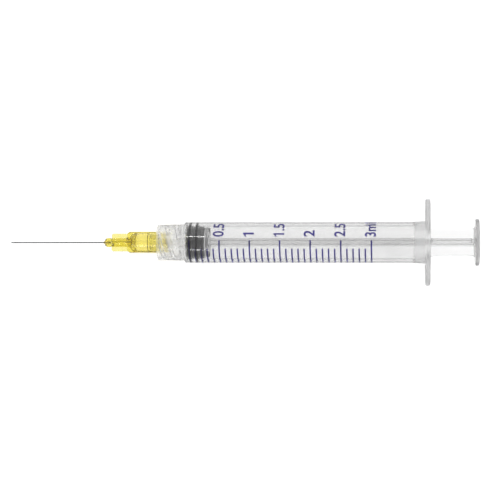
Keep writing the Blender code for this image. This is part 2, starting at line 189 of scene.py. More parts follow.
# Cannula and its adhesive
CANNULA_SIDES = 48
VENT_SIDES = 24
ADHESIVE_SIDES = 64
NEEDLE_RADIUS = 0.1525 * MM
NEEDLE_BORE = 0.08 * MM
CANNULA_TIP = cannula_low.x - SHOULDER_X
CANNULA_REAR = cannula_high.x - SHOULDER_X
VENT_SETBACK = 1.0 * MM
VENT_LENGTH = 1.2 * MM
VENT_WIDTH = 0.11 * MM
LUMEN_PAST_VENT = 0.4 * MM
WELL_MOUTH = 0.8 * MM
WELL_BOTTOM = 0.4 * MM
WELL_DEPTH = 1.3 * MM
GLUE_GAP = 0.05 * MM
MENISCUS = 0.3 * MM

# Printed scale, placed by station and by angle from the top of the barrel
SCALE_ZERO = 1.60 * MM
SCALE_STEP = 1.5665 * MM
SCALE_COUNT = 31
TICK_WIDTH = 0.39 * MM
TICK_SEGMENTS = 28
TICK_END_TRIM = 0.35
MAJOR_EVERY = 5
TICK_END = math.radians(-80)
MINOR_START = math.radians(-17.5)
MAJOR_START = math.radians(6)
LABELS = ("0.5", "1", "1.5", "2", "2.5", "3ml")
LABEL_START = math.radians(16)
LABEL_LONGEST = math.radians(60)
LABEL_FROM_ABOVE = 0.75
LABEL_HEIGHT = 2.7 * MM
LABEL_SHIFT = -0.27 * MM
LABEL_SLICE = 0.04
DIGIT_HEIGHT = 0.69
LETTER_HALF_DEPTH = 0.5
LETTER_WEIGHT = 0.018
FLAG_OUTLINE = ((0.02, 0.686), (0.02, 0.55), (-0.16, 0.45), (-0.16, 0.56), (-0.03, 0.63))
INK_LOW = BARREL_RADIUS - 0.004 * MM
INK_HIGH = BARREL_RADIUS + 0.012 * MM

# Materials
NOISE_LOW = 0.3
NOISE_HIGH = 0.7
PLASTIC_IOR = 1.49
INK_IOR = 1.45
FLOW_SCALE = 260
CLOUD_SCALE = 420
MATT_EDGE = 0.1 * MM
NO_COLOUR = (0, 0, 0)

# Floor: its profile is (radius, height)
FLOOR_SIDES = 96
FLOOR_DROP = 0.02 * MM
FLOOR_GLOW = 0.73
FLOOR_PROFILE = (
    (0.05, -FLOOR_DROP), (0.5, -FLOOR_DROP), (1.6, -FLOOR_DROP), (1.62, -0.002), (1.6, -0.01), (0.05, -0.01))

# Studio dome: (height, brightness), and the strength at its -Y and +Y sides
DOME_LEVELS = ((0.0, 0.70), (0.35, 0.85), (0.6, 1.0), (0.86, 0.90), (0.97, 0.38))
DOME_DIM_SIDE = 0.66
DOME_BRIGHT_SIDE = 1.04

# Strip lights
STRIP_LENGTH = 0.6
STRIP_WIDTH = 0.11
STRIP_DISTANCE = 1.2
STRIP_X = -0.46
STRIP_POWER = 2.2
STRIP_LEFT_LEAN = math.radians(-44)
STRIP_RIGHT_LEAN = math.radians(35)

# Camera
CAMERA_LENS = 111.06
CAMERA_STATION = 55.85 * MM
CAMERA_SIDE = -1.96 * MM
CAMERA_DISTANCE = 400 * MM
CAMERA_TILT = math.radians(5.554)
LIGHT_BOUNCES = 24


def angles(count):
    return np.arange(count) * (2 * math.pi / count)


def ring(theta, radius, station):
    """Points around the axis at the given radii and station."""
    r = np.broadcast_to(radius, theta.shape)
    return np.stack([r * np.cos(theta), r * np.sin(theta), np.broadcast_to(station, theta.shape)], axis=1)


def rounded(corners, segments=4, guard=0.03 * MM):
    """(radius, station) points along a profile of (radius, station, rounding) corners, its ends left sharp.

    A guard point next to each rounding keeps the straight stretches straight when they are shaded.
    """
    points = [corners[0][:2]]
    for before, here, after in zip(corners, corners[1:], corners[2:]):
        corner = np.array(here[:2])
        if here[2] == 0:
            points.append(tuple(corner))
            continue
        to_before = np.array(before[:2]) - corner
        to_after = np.array(after[:2]) - corner
        length_before = np.linalg.norm(to_before)
        length_after = np.linalg.norm(to_after)
        cut = min(here[2], 0.45 * length_before, 0.45 * length_after)
        start = corner + to_before / length_before * cut
        end = corner + to_after / length_after * cut
        if length_before > 3 * cut + guard:
            points.append(tuple(start + to_before / length_before * guard))
        for i in range(segments + 1):
            t = i / segments
            points.append(tuple((1 - t) ** 2 * start + 2 * t * (1 - t) * corner + t**2 * end))
        if length_after > 3 * cut + guard:
            points.append(tuple(end + to_after / length_after * guard))
    points.append(corners[-1][:2])
    return points


def rings_of(theta, profile):
    return [ring(theta, radius, station) for radius, station in profile]


def blade_radius(theta, half_width, half_thickness, rounding):
    """Distance from the axis to the surface of a flat blade through it, with rounded corners."""
    c = np.maximum(np.abs(np.cos(theta)), 1e-9)
    s = np.maximum(np.abs(np.sin(theta)), 1e-9)
    across = half_width / c
    along = half_thickness / s
    radius = np.minimum(across, along)
    cx = half_width - rounding
    cy = half_thickness - rounding
    b = cx * c + cy * s
    inside = b**2 - (cx**2 + cy**2 - rounding**2)
    corner = (np.minimum(across, along) * c > cx) & (np.minimum(across, along) * s > cy) & (inside > 0)
    return np.where(corner, b + np.sqrt(np.maximum(inside, 0)), radius)


def cross_radius(theta, half_width, half_thickness, rounding, root):
    """Distance from the axis to the surface of a four-ribbed cross, with a fillet between the ribs."""
    turned = theta + math.pi / 2
    radius = np.maximum(
        blade_radius(theta, half_width, half_thickness, rounding),
        blade_radius(turned, half_width, half_thickness, rounding),
    )
    c = np.abs(np.cos(theta))
    s = np.abs(np.sin(theta))
    centre = half_thickness + root
    b = centre * (c + s)
    reach = b**2 - (2 * centre**2 - root**2)
    fillet = b - np.sqrt(np.maximum(reach, 0))
    between = (fillet * c < centre) & (fillet * s < centre) & (reach > 0)
    return np.where(between, np.maximum(radius, fillet), radius)


def loft(name, rings, materials, closed=False, slots=None, place=AXIS):
    """A watertight piece through rings of equal length.

    The rings form a closed loop, or an open run that is closed at both ends. place is the piece's own frame.
    """
    count = len(rings[0])
    points = list(map(tuple, np.concatenate(rings)))
    faces = []
    face_slots = []
    runs = len(rings) if closed else len(rings) - 1
    for i in range(runs):
        low = i * count
        high = (i + 1) % len(rings) * count
        for j in range(count):
            k = (j + 1) % count
            faces.append((low + j, low + k, high + k, high + j))
        face_slots += [slots[i] if slots else 0] * count
    if not closed:
        for base in (0, (len(rings) - 1) * count):
            centre = np.mean(np.array(points[base:base + count]), axis=0)
            points.append(tuple(centre))
            tip = len(points) - 1
            faces += [(base + j, base + (j + 1) % count, tip) for j in range(count)]
            face_slots += [0] * count
    mesh = bpy.data.meshes.new(name)
    mesh.from_pydata(points, [], faces)
    mesh.polygons.foreach_set("material_index", face_slots)
    return finish_mesh(name, mesh, materials, place)


def finish_mesh(name, mesh, materials, place):
    """Turns a mesh into a shaded object with its materials, in its place."""
    bm = bmesh.new()
    bm.from_mesh(mesh)
    bmesh.ops.recalc_face_normals(bm, faces=bm.faces)
    bm.to_mesh(mesh)
    bm.free()
    mesh.shade_smooth()
    mesh.set_sharp_from_angle(angle=SHARP_EDGE)
    for mat in materials:
        mesh.materials.append(mat)
    obj = bpy.data.objects.new(name, mesh)
    bpy.context.scene.collection.objects.link(obj)
    obj.matrix_world = place
    return obj


def luer_radius(station):
    return CONE_TIP_RADIUS + LUER_SLOPE * (station - CONE_TIP)


def smooth_step(low, high, value):
    t = np.clip((value - low) / (high - low), 0, 1)
    return t * t * (3 - 2 * t)


def flange_radius(theta, inset):
    """The flange's outline, a disc with two flats, drawn in by an inset."""
    disc = (FLANGE_RADIUS - inset) * np.ones_like(theta)
    flats = (FLANGE_HALF_HEIGHT - inset) / np.maximum(np.abs(np.cos(theta)), 1e-6)
    return (disc**-FLANGE_CORNER + flats**-FLANGE_CORNER) ** (-1 / FLANGE_CORNER)


def thread_radius(theta, station):
    """The collar's inside wall at a station, with the lock thread standing on it."""
    ridge = LUG_CENTRE + THREAD_PITCH / 2 + (theta - LUG_ANGLE) * THREAD_LEAD / (2 * math.pi)
    offset = np.abs((station - ridge + THREAD_PITCH / 2) % THREAD_PITCH - THREAD_PITCH / 2)
    rise = 1 - smooth_step(THREAD_CREST_HALF, THREAD_BASE_HALF, offset)
    fade = smooth_step(THREAD_FRONT - 0.3 * MM, THREAD_FRONT + 0.2 * MM, station)
    fade *= 1 - smooth_step(THREAD_REAR - 0.4 * MM, THREAD_REAR, station)
    return THREAD_MAJOR - THREAD_HEIGHT * rise * fade


def flange_rings(theta):
    """The flange from its rear face over its edge to its front face, with rounded rims."""
    rings = []
    for a in np.radians([0, 15, 35, 60, 90]):
        outline = flange_radius(theta, FLANGE_EDGE * (1 - math.sin(a)))
        rings.append(ring(theta, outline, FLANGE_REAR - FLANGE_EDGE * (1 - math.cos(a))))
    for a in np.radians([0, 30, 55, 75, 90]):
        outline = flange_radius(theta, FLANGE_EDGE * (1 - math.cos(a)))
        rings.append(ring(theta, outline, FLANGE_FRONT + FLANGE_EDGE * (1 - math.sin(a))))
    return rings


def tube_profile():
    return rounded([
        (MOUTH_RADIUS + 0.09 * MM, FLANGE_FRONT, 0),
        (MOUTH_RADIUS, FLANGE_FRONT, 0.35 * MM),
        (BARREL_RADIUS, STOP_RING, 1.5 * MM),
        (BARREL_RADIUS, 1.0 * MM, 0),
    ], 6)


def front_rings(theta):
    """Over the shoulder, the lock collar and its thread, then the Luer cone and its lumen."""
    shoulder = rounded([
        (BARREL_RADIUS, 0.9 * MM, 0),
        (BARREL_RADIUS, 0.0, 0.75 * MM),
        (COLLAR_REAR_RADIUS, 0.0, 0.12 * MM),
        (COLLAR_REAR_RADIUS - 0.04 * MM, -2.5 * MM, 0),
    ], 6)
    collar = rounded([
        (COLLAR_REAR_RADIUS - 0.045 * MM, -2.8 * MM, 0),
        (COLLAR_FRONT_RADIUS, COLLAR_FRONT, 0.85 * MM),
        (THREAD_MAJOR, COLLAR_FRONT, 0.1 * MM),
        (THREAD_MAJOR, COLLAR_FRONT + 0.45 * MM, 0),
    ], 7)
    wall = [THREAD_WALL_FRONT + THREAD_WALL_LENGTH * i / THREAD_STEPS for i in range(THREAD_STEPS + 1)]
    threads = [ring(theta, thread_radius(theta, station), station) for station in wall]
    cone = rounded([
        (THREAD_MAJOR, COLLAR_ROOT, 0),
        (luer_radius(COLLAR_ROOT), COLLAR_ROOT, 0.2 * MM),
        (luer_radius(CONE_TIP), CONE_TIP, 0.22 * MM),
        (LUMEN_RADIUS, CONE_TIP, 0.1 * MM),
        (LUMEN_RADIUS, FLOOR, 0.1 * MM),
        (BORE_RADIUS - 0.4 * MM, FLOOR, 0),
    ], 5)
    return rings_of(theta, shoulder) + rings_of(theta, collar) + threads + rings_of(theta, cone)


def bore_profile():
    """The barrel's inside: floor, wall, retaining ring and the lead-in at the mouth."""
    return rounded([
        (BORE_RADIUS - 0.35 * MM, FLOOR, 0),
        (BORE_RADIUS, FLOOR, 0.25 * MM),
        (BORE_RADIUS, STOP_RING - STOP_RING_HALF, 0.15 * MM),
        (BORE_RADIUS - STOP_RING_HEIGHT, STOP_RING, 0.15 * MM),
        (BORE_RADIUS, STOP_RING + STOP_RING_HALF, 0.15 * MM),
        (BORE_RADIUS, FLANGE_FRONT, 0.4 * MM),
        (MOUTH_LEAD_IN, FLANGE_REAR, 0.2 * MM),
        (MOUTH_LEAD_IN + 1.0 * MM, FLANGE_REAR, 0),
    ], 4)


def make_barrel(clear, frosted):
    """The barrel: clear between shoulder and retaining ring, frosted at its two ends."""
    theta = angles(BARREL_SIDES)
    rings = flange_rings(theta)
    slots = [1] * len(rings)
    tube = rings_of(theta, tube_profile())
    bore = rings_of(theta, bore_profile())
    for section, see_through in ((tube, True), (front_rings(theta), False), (bore, True)):
        rings += section
        slots += [0 if see_through and circle[0][2] < STOP_RING else 1 for circle in section]
    return loft("barrel_moulding", rings, [clear, frosted], closed=True, slots=slots)


def make_stopper(rubber):
    theta = angles(STOPPER_SIDES)
    profile = rounded([
        (PROFILE_START, STOPPER_FRONT - 0.1 * MM, 0),
        (2.6 * MM, STOPPER_FRONT, 0.3 * MM),
        (STOPPER_CONTACT - 0.35 * MM, STOPPER_FRONT, 0.2 * MM),
        (STOPPER_CONTACT, FRONT_RIB[0], 0.08 * MM),
        (STOPPER_CONTACT, FRONT_RIB[1], 0.1 * MM),
        (STOPPER_WAIST, STOPPER_NECK[0], 0.2 * MM),
        (STOPPER_WAIST, STOPPER_NECK[1], 0.2 * MM),
        (STOPPER_CONTACT, REAR_RIB[0], 0.1 * MM),
        (STOPPER_CONTACT, REAR_RIB[1], 0.1 * MM),
        (STOPPER_WAIST, STOPPER_TAIL, 0.2 * MM),
        (STOPPER_WAIST - 0.05 * MM, STOPPER_REAR, 0.15 * MM),
        (POCKET_MOUTH_RADIUS, STOPPER_REAR, 0.1 * MM),
        (POCKET_MOUTH_RADIUS, POCKET_REAR, 0),
        (POCKET_RADIUS, POCKET_REAR, 0.1 * MM),
        (POCKET_RADIUS, POCKET_MIDDLE, 0.1 * MM),
        (POCKET_MOUTH_RADIUS, POCKET_FRONT, 0.1 * MM),
        (PROFILE_START, POCKET_FRONT, 0),
    ], 4)
    return loft("rubber_stopper", rings_of(theta, profile), [rubber])


def rod_half_width(station):
    slim = smooth_step(FLANGE_REAR - 0.3 * MM, FLANGE_REAR + SLIM_LENGTH, station)
    flare = np.clip((station - (THUMB_FRONT - FLARE_LENGTH)) / FLARE_LENGTH, 0, 1) ** 2
    return ROD_HALF_WIDTH + (ROD_WAIST - ROD_HALF_WIDTH) * slim + (ROD_FLARE - ROD_WAIST) * flare


def rod_ring(theta, station, grow=0.0):
    """A section of the four ribs, made larger all round by grow where they run into a disc."""
    half_width = rod_half_width(station) + grow
    section = cross_radius(theta - ROD_TURN, half_width, ROD_RIB_HALF + grow, ROD_CORNER, ROD_ROOT + grow)
    return ring(theta, section, station)


def rod_stations():
    """Stations of the ribs, close together where their width changes."""
    stations = [DISC_REAR + 0.35 * MM, ROD_MIDDLE, ROD_NEAR_MOUTH]
    stations += [FLANGE_REAR - 0.4 * MM + (SLIM_LENGTH + 0.5 * MM) * i / 14 for i in range(15)]
    stations += [ROD_SLIM_END]
    stations += [THUMB_FRONT - FLARE_LENGTH + (FLARE_LENGTH - ROD_FILLET) * i / 12 for i in range(13)]
    return stations


def make_rod(plastic):
    theta = angles(ROD_SIDES)
    knob = rounded([
        (PROFILE_START, KNOB_FRONT, 0),
        (KNOB_NECK, KNOB_FRONT, 0.2 * MM),
        (KNOB_RADIUS, KNOB_SHOULDER, 0.2 * MM),
        (KNOB_RADIUS, KNOB_REAR, 0.1 * MM),
        (KNOB_NECK, KNOB_REAR, 0.1 * MM),
        (KNOB_NECK, DISC_FRONT, 0.1 * MM),
        (DISC_RADIUS, DISC_FRONT, 0.4 * MM),
        (DISC_RADIUS, DISC_REAR, 0.4 * MM),
        (DISC_RADIUS - 0.55 * MM, DISC_REAR, 0),
    ], 3)
    rings = rings_of(theta, knob)
    for a in np.radians([0, 30, 60, 90]):
        station = DISC_REAR + ROD_FILLET * (1 - math.cos(a))
        rings.append(rod_ring(theta, station, ROD_FILLET * (1 - math.sin(a)) * DISC_FILLET_SHARE))
    rings += [rod_ring(theta, station) for station in rod_stations()]
    for a in np.radians([20, 45, 70, 90]):
        station = THUMB_FRONT - ROD_FILLET * (1 - math.sin(a))
        rings.append(rod_ring(theta, station, ROD_FILLET * (1 - math.cos(a))))
    thumb = rounded([
        (ROD_FLARE + 0.6 * MM, THUMB_FRONT, 0),
        (THUMB_RADIUS, THUMB_FRONT, 0.4 * MM),
        (THUMB_RADIUS, THUMB_REAR, 0.35 * MM),
        (0.75 * MM, THUMB_REAR, 0),
        (GATE_RADIUS, THUMB_REAR - GATE_DEPTH, 0),
        (0.05 * MM, THUMB_REAR - GATE_DEPTH, 0),
    ], 5)
    rings += rings_of(theta, thumb)
    return loft("plunger_rod_moulding", rings, [plastic])


def with_lugs(theta, station, radius):
    """The outside with the two lugs added, which lie along the lock thread."""
    lug = LUG_CENTRE + (theta - LUG_ANGLE) * THREAD_LEAD / (2 * math.pi)
    away = np.abs((station - lug + THREAD_PITCH / 2) % THREAD_PITCH - THREAD_PITCH / 2)
    round_from = np.abs((theta - LUG_ANGLE + math.pi / 2) % math.pi - math.pi / 2)
    rise = 1 - smooth_step(LUG_CREST_HALF, LUG_BASE_HALF, away)
    rise *= 1 - smooth_step(LUG_ARC / 2 - LUG_FADE, LUG_ARC / 2, round_from)
    return np.maximum(radius, HUB_RADIUS + (LUG_RADIUS - HUB_RADIUS) * rise)


def hub_outside(theta, station):
    """Radius of the hub's outside at a station, with its ribs, fins and lugs."""
    turned = theta - HUB_TURN
    share = np.clip((station - BODY_FRONT) / BODY_FLARE, 0, 1)
    core = STEM_RADIUS + (HUB_RADIUS - STEM_RADIUS) * (1 - math.cos(math.pi * share)) / 2
    radius = core * np.ones_like(theta)
    if FIN_FRONT <= station <= BODY_FRONT + BODY_FLARE:
        nip = max(0.0, FIN_CHAMFER - (station - FIN_FRONT))
        fins = cross_radius(turned, FIN_HALF_HEIGHT - nip, FIN_HALF, 0.1 * MM, 0.12 * MM)
        radius = np.maximum(radius, fins)
    if BODY_FRONT <= station <= BODY_RIB_REAR:
        nip = max(0.0, BODY_CHAMFER - (station - BODY_FRONT))
        ribs = cross_radius(turned, BODY_HALF_HEIGHT - nip, BODY_RIB_HALF, 0.15 * MM, 0.1 * MM)
        radius = np.maximum(radius, ribs)
    if abs(station - LUG_CENTRE) > LUG_REACH:
        return radius
    return with_lugs(theta, station, radius)


def hub_stations():
    """Stations of the hub's outside from its rear to its fins, doubled where its section jumps."""
    flare_rear = BODY_FRONT + BODY_FLARE
    stations = [HUB_REAR - LUG_RING_STEP * i for i in range(1, LUG_RINGS + 1)]
    stations += [LUG_ZONE_END, BODY_RIB_REAR + 0.02 * MM, BODY_RIB_REAR - 0.02 * MM, BODY_MIDDLE]
    stations += [flare_rear + 0.1 * MM]
    stations += [flare_rear - BODY_FLARE * i / 16 for i in range(16)]
    stations += [BODY_FRONT + 0.01 * MM, BODY_FRONT - 0.01 * MM, STEM_MIDDLE]
    stations += [FIN_FRONT + FIN_CHAMFER, FIN_FRONT + FIN_CHAMFER / 2]
    stations += [FIN_FRONT + 0.01 * MM, FIN_FRONT - 0.01 * MM]
    return stations


def hub_nose_and_inside():
    """The grooved nose, the well for the adhesive, the needle's hole, the cavity and the socket."""
    groove = NOSE_RADIUS - NOSE_GROOVE
    hole = NEEDLE_RADIUS + GLUE_GAP / 2
    bullet = [
        (WELL_MOUTH + (NOSE_RADIUS - WELL_MOUTH) * math.cos(a), NOSE_RIM + NOSE_LENGTH * (1 - math.sin(a)), 0)
        for a in np.radians([0, 15, 30, 45, 60, 75, 88])
    ]
    return rounded([
        (STEM_RADIUS, FIN_FRONT - 0.05 * MM, 0),
        (groove, FIN_FRONT - 0.1 * MM, 0.03 * MM),
        (groove, HUB_NOSE + 1.75 * MM, 0.03 * MM),
        (NOSE_RADIUS, HUB_NOSE + 1.6 * MM, 0.05 * MM),
    ] + bullet + [
        (WELL_BOTTOM, HUB_NOSE + WELL_DEPTH, 0.1 * MM),
        (hole, HUB_NOSE + WELL_DEPTH, 0),
        (hole, CAVITY_FRONT, 0),
        (0.8 * MM, CAVITY_FRONT, 0.2 * MM),
        (1.6 * MM, CAVITY_FRONT + 0.5 * MM, 0.3 * MM),
        (CAVITY_RADIUS, CAVITY_FRONT + 1.5 * MM, 0.3 * MM),
        (CAVITY_RADIUS, CONE_TIP - 0.5 * MM, 0.05 * MM),
        (luer_radius(CONE_TIP) + SOCKET_GAP, CONE_TIP - 0.35 * MM, 0.05 * MM),
        (luer_radius(HUB_REAR) + SOCKET_GAP, HUB_REAR - 0.06 * MM, 0),
    ], 5)


def make_hub(plastic):
    theta = angles(HUB_SIDES)
    socket_rim = luer_radius(HUB_REAR) + SOCKET_GAP + 0.06 * MM
    rings = rings_of(theta, [(socket_rim, HUB_REAR), (HUB_RADIUS - 0.1 * MM, HUB_REAR)])
    rings += [ring(theta, hub_outside(theta, station), station) for station in hub_stations()]
    rings += rings_of(theta, hub_nose_and_inside())
    return loft("needle_hub_moulding", rings, [plastic], closed=True)


def vent_cutter(steel):
    """A prism with the vent's outline, from the needle's axis out past its upper side."""
    theta = angles(VENT_SIDES)
    half = VENT_WIDTH / 2
    spread = np.where(np.sin(theta) > 0, 1, -1) * (VENT_LENGTH / 2 - half)
    outline = np.stack([half * np.cos(theta), spread + half * np.sin(theta)], axis=1)
    middle = CANNULA_TIP + VENT_SETBACK + VENT_LENGTH / 2
    layers = [
        np.stack([np.full(VENT_SIDES, -depth), outline[:, 0], middle + outline[:, 1]], axis=1)
        for depth in (0.0, 2 * NEEDLE_RADIUS)
    ]
    return loft("vent_slot", layers, [steel], place=AXIS @ Matrix.Rotation(HUB_TURN, 4, "Z"))


def make_cannula(steel):
    """The tube with its rounded closed tip and the slot of the side vent, which opens upwards."""
    theta = angles(CANNULA_SIDES)
    lumen_front = CANNULA_TIP + VENT_SETBACK - LUMEN_PAST_VENT
    tip = [
        (NEEDLE_RADIUS * math.sin(a), CANNULA_TIP + NEEDLE_RADIUS * (1 - math.cos(a)))
        for a in np.radians([12, 25, 40, 55, 70, 90])
    ]
    profile = tip + [
        (NEEDLE_RADIUS, CANNULA_TIP + NEEDLE_RADIUS + 0.1 * MM),
        (NEEDLE_RADIUS, CANNULA_REAR),
        (NEEDLE_BORE, CANNULA_REAR),
        (NEEDLE_BORE, lumen_front),
    ]
    cannula = loft("cannula_tube", rings_of(theta, profile), [steel])
    slot = vent_cutter(steel)
    cut = cannula.modifiers.new("vent", "BOOLEAN")
    cut.operation = "DIFFERENCE"
    cut.solver = "EXACT"
    cut.object = slot
    graph = bpy.context.evaluated_depsgraph_get()
    mesh = bpy.data.meshes.new_from_object(cannula.evaluated_get(graph))
    cannula.modifiers.clear()
    cannula.data = mesh
    bpy.data.objects.remove(slot)
    mesh.set_sharp_from_angle(angle=SHARP_EDGE)
    return cannula


def make_adhesive(resin):
    theta = angles(ADHESIVE_SIDES)
    inside = NEEDLE_RADIUS + GLUE_GAP / 5
    profile = rounded([
        (inside, HUB_NOSE + WELL_DEPTH - GLUE_GAP, 0),
        (WELL_BOTTOM - GLUE_GAP, HUB_NOSE + WELL_DEPTH - GLUE_GAP, 0.06 * MM),
        (WELL_MOUTH - GLUE_GAP, NOSE_RIM + 0.05 * MM, 0.05 * MM),
        (0.62 * MM, NOSE_RIM - 0.12 * MM, 0.15 * MM),
        (0.32 * MM, HUB_NOSE, 0.15 * MM),
        (inside, HUB_NOSE - MENISCUS, 0.01 * MM),
        (inside, HUB_NOSE - 0.15 * MM, 0),
    ], 5)
    return loft("adhesive_fillet", rings_of(theta, profile), [resin], closed=True)


def on_barrel(phi, station, radius):
    """A point over the barrel: phi is the angle from its top, turning towards the world's +Y."""
    return (-radius * math.cos(phi), radius * math.sin(phi), station)


def tick(bm, station, start, end):
    """A thin curved bar around the barrel, closed at both ends."""
    half = TICK_WIDTH / 2
    last = None
    for i in range(TICK_SEGMENTS + 1):
        phi = start + (end - start) * i / TICK_SEGMENTS
        side = half - (TICK_END_TRIM * half if i in (0, TICK_SEGMENTS) else 0.0)
        edges = ((side, INK_LOW), (side, INK_HIGH), (-side, INK_HIGH), (-side, INK_LOW))
        corners = [bm.verts.new(on_barrel(phi, station + along, radius)) for along, radius in edges]
        if last:
            for j in range(4):
                bm.faces.new((last[j], last[(j + 1) % 4], corners[(j + 1) % 4], corners[j]))
        else:
            bm.faces.new(corners)
        last = corners
    bm.faces.new(last)


def make_ticks(ink):
    bm = bmesh.new()
    for i in range(SCALE_COUNT):
        start = MAJOR_START if i % MAJOR_EVERY == 0 else MINOR_START
        tick(bm, SCALE_ZERO + SCALE_STEP * i, start, TICK_END)
    mesh = bpy.data.meshes.new("scale_ticks")
    bm.to_mesh(mesh)
    bm.free()
    return finish_mesh("scale_ticks", mesh, [ink], AXIS)


def flat_text(body):
    """A bmesh of lettering, slightly bold and one unit thick, drawn flat."""
    curve = bpy.data.curves.new("lettering", "FONT")
    curve.body = body
    curve.extrude = LETTER_HALF_DEPTH
    curve.offset = LETTER_WEIGHT
    curve.resolution_u = 6
    holder = bpy.data.objects.new("lettering", curve)
    bpy.context.scene.collection.objects.link(holder)
    graph = bpy.context.evaluated_depsgraph_get()
    mesh = bpy.data.meshes.new_from_object(holder.evaluated_get(graph))
    bpy.data.objects.remove(holder)
    bpy.data.curves.remove(curve)
    bm = bmesh.new()
    bm.from_mesh(mesh)
    bpy.data.meshes.remove(mesh)
    bmesh.ops.remove_doubles(bm, verts=bm.verts, dist=1e-5)
    return bm


def slice_along(bm, step):
    """Cuts lettering into strips along its reading direction, and gives where it starts and its width."""
    low = min(v.co.x for v in bm.verts)
    high = max(v.co.x for v in bm.verts)
    for i in range(1, int((high - low) / step) + 1):
        geometry = list(bm.verts) + list(bm.edges) + list(bm.faces)
        here = (low + step * i, 0, 0)
        bmesh.ops.bisect_plane(bm, geom=geometry, plane_co=here, plane_no=(1, 0, 0), dist=1e-6)
    return low, high - low


def flag_of_one(bm):
    """The slanted flag at the top of a figure one, whose stem the lettering draws as a plain bar."""
    stem = min(v.co.x for v in bm.verts)
    layers = [
        [bm.verts.new((stem + x, y, z)) for x, y in FLAG_OUTLINE]
        for z in (-LETTER_HALF_DEPTH, LETTER_HALF_DEPTH)
    ]
    bm.faces.new(layers[0])
    bm.faces.new(layers[1])
    for i in range(len(FLAG_OUTLINE)):
        j = (i + 1) % len(FLAG_OUTLINE)
        bm.faces.new((layers[0][i], layers[0][j], layers[1][j], layers[1][i]))


def label_angle(share, arc):
    """Angle at a share of a label's width, between even on the barrel (0) and even from above (1)."""
    even = LABEL_START + arc * share
    low = math.sin(LABEL_START)
    high = math.sin(LABEL_START + arc)
    seen = math.asin(min(1.0, low + (high - low) * share))
    return even + (seen - even) * LABEL_FROM_ABOVE


def make_label(index, body, ink):
    """One number of the scale, wrapped on the barrel: it reads around it, with its top towards the needle."""
    bm = flat_text(body)
    if body[0] == "1":
        flag_of_one(bm)
    scale = LABEL_HEIGHT / DIGIT_HEIGHT
    low, width = slice_along(bm, LABEL_SLICE)
    arc = min(width * scale / BARREL_RADIUS, LABEL_LONGEST)
    station = SCALE_ZERO + SCALE_STEP * MAJOR_EVERY * (index + 1) + LABEL_SHIFT
    for v in bm.verts:
        phi = label_angle((v.co.x - low) / width, arc)
        radius = INK_HIGH if v.co.z > 0 else INK_LOW
        v.co = on_barrel(phi, station - (v.co.y - DIGIT_HEIGHT / 2) * scale, radius)
    mesh = bpy.data.meshes.new("scale_label")
    bm.to_mesh(mesh)
    bm.free()
    return finish_mesh(f"scale_label_{index + 1}", mesh, [ink], AXIS)


def new_material(name):
    mat = bpy.data.materials.new(name)
    mat.use_nodes = True
    tree = mat.node_tree
    return mat, tree, tree.nodes["Principled BSDF"]


def noise(tree, scale, detail, stretch=(1, 1, 1)):
    """Noise in the piece's own space, scale in features per metre, stretched along the axis if asked."""
    place = tree.nodes.new("ShaderNodeTexCoord")
    mapping = tree.nodes.new("ShaderNodeMapping")
    mapping.inputs["Scale"].default_value = stretch
    texture = tree.nodes.new("ShaderNodeTexNoise")
    texture.inputs["Scale"].default_value = scale
    texture.inputs["Detail"].default_value = detail
    tree.links.new(place.outputs["Object"], mapping.inputs["Vector"])
    tree.links.new(mapping.outputs["Vector"], texture.inputs["Vector"])
    return texture.outputs["Fac"]


def between(tree, factor, low, high):
    """A value between low and high, by noise."""
    node = tree.nodes.new("ShaderNodeMapRange")
    node.inputs["From Min"].default_value = NOISE_LOW
    node.inputs["From Max"].default_value = NOISE_HIGH
    node.inputs["To Min"].default_value = low
    node.inputs["To Max"].default_value = high
    tree.links.new(factor, node.inputs["Value"])
    return node.outputs["Result"]


def tint(tree, factor, dark, light):
    """Colours between two tones, by noise."""
    node = tree.nodes.new("ShaderNodeValToRGB")
    node.color_ramp.elements[0].position = NOISE_LOW
    node.color_ramp.elements[0].color = (*dark, 1)
    node.color_ramp.elements[1].position = NOISE_HIGH
    node.color_ramp.elements[1].color = (*light, 1)
    tree.links.new(factor, node.inputs["Fac"])
    return node.outputs["Color"]


def bump(tree, shader, height, distance):
    node = tree.nodes.new("ShaderNodeBump")
    node.inputs["Distance"].default_value = distance
    node.inputs["Strength"].default_value = 1.0
    tree.links.new(height, node.inputs["Height"])
    tree.links.new(node.outputs["Normal"], shader.inputs["Normal"])


def let_lamps_through(mat, tree, shader, shade):
    """Shadow rays pass the clear piece, with a little loss, so that it doesn't throw a solid shadow."""
    output = tree.nodes["Material Output"]
    path = tree.nodes.new("ShaderNodeLightPath")
    passing = tree.nodes.new("ShaderNodeBsdfTransparent")
    passing.inputs["Color"].default_value = (*shade, 1)
    mix = tree.nodes.new("ShaderNodeMixShader")
    tree.links.new(path.outputs["Is Shadow Ray"], mix.inputs["Fac"])
    tree.links.new(shader.outputs["BSDF"], mix.inputs[1])
    tree.links.new(passing.outputs["BSDF"], mix.inputs[2])
    tree.links.new(mix.outputs["Shader"], output.inputs["Surface"])
    return mat


def darken_with_depth(tree, colour, density):
    """The plastic takes away light with its thickness: density per metre, times one less the colour."""
    depth = tree.nodes.new("ShaderNodeVolumeAbsorption")
    depth.inputs["Color"].default_value = (*colour, 1)
    depth.inputs["Density"].default_value = density
    tree.links.new(depth.outputs["Volume"], tree.nodes["Material Output"].inputs["Volume"])


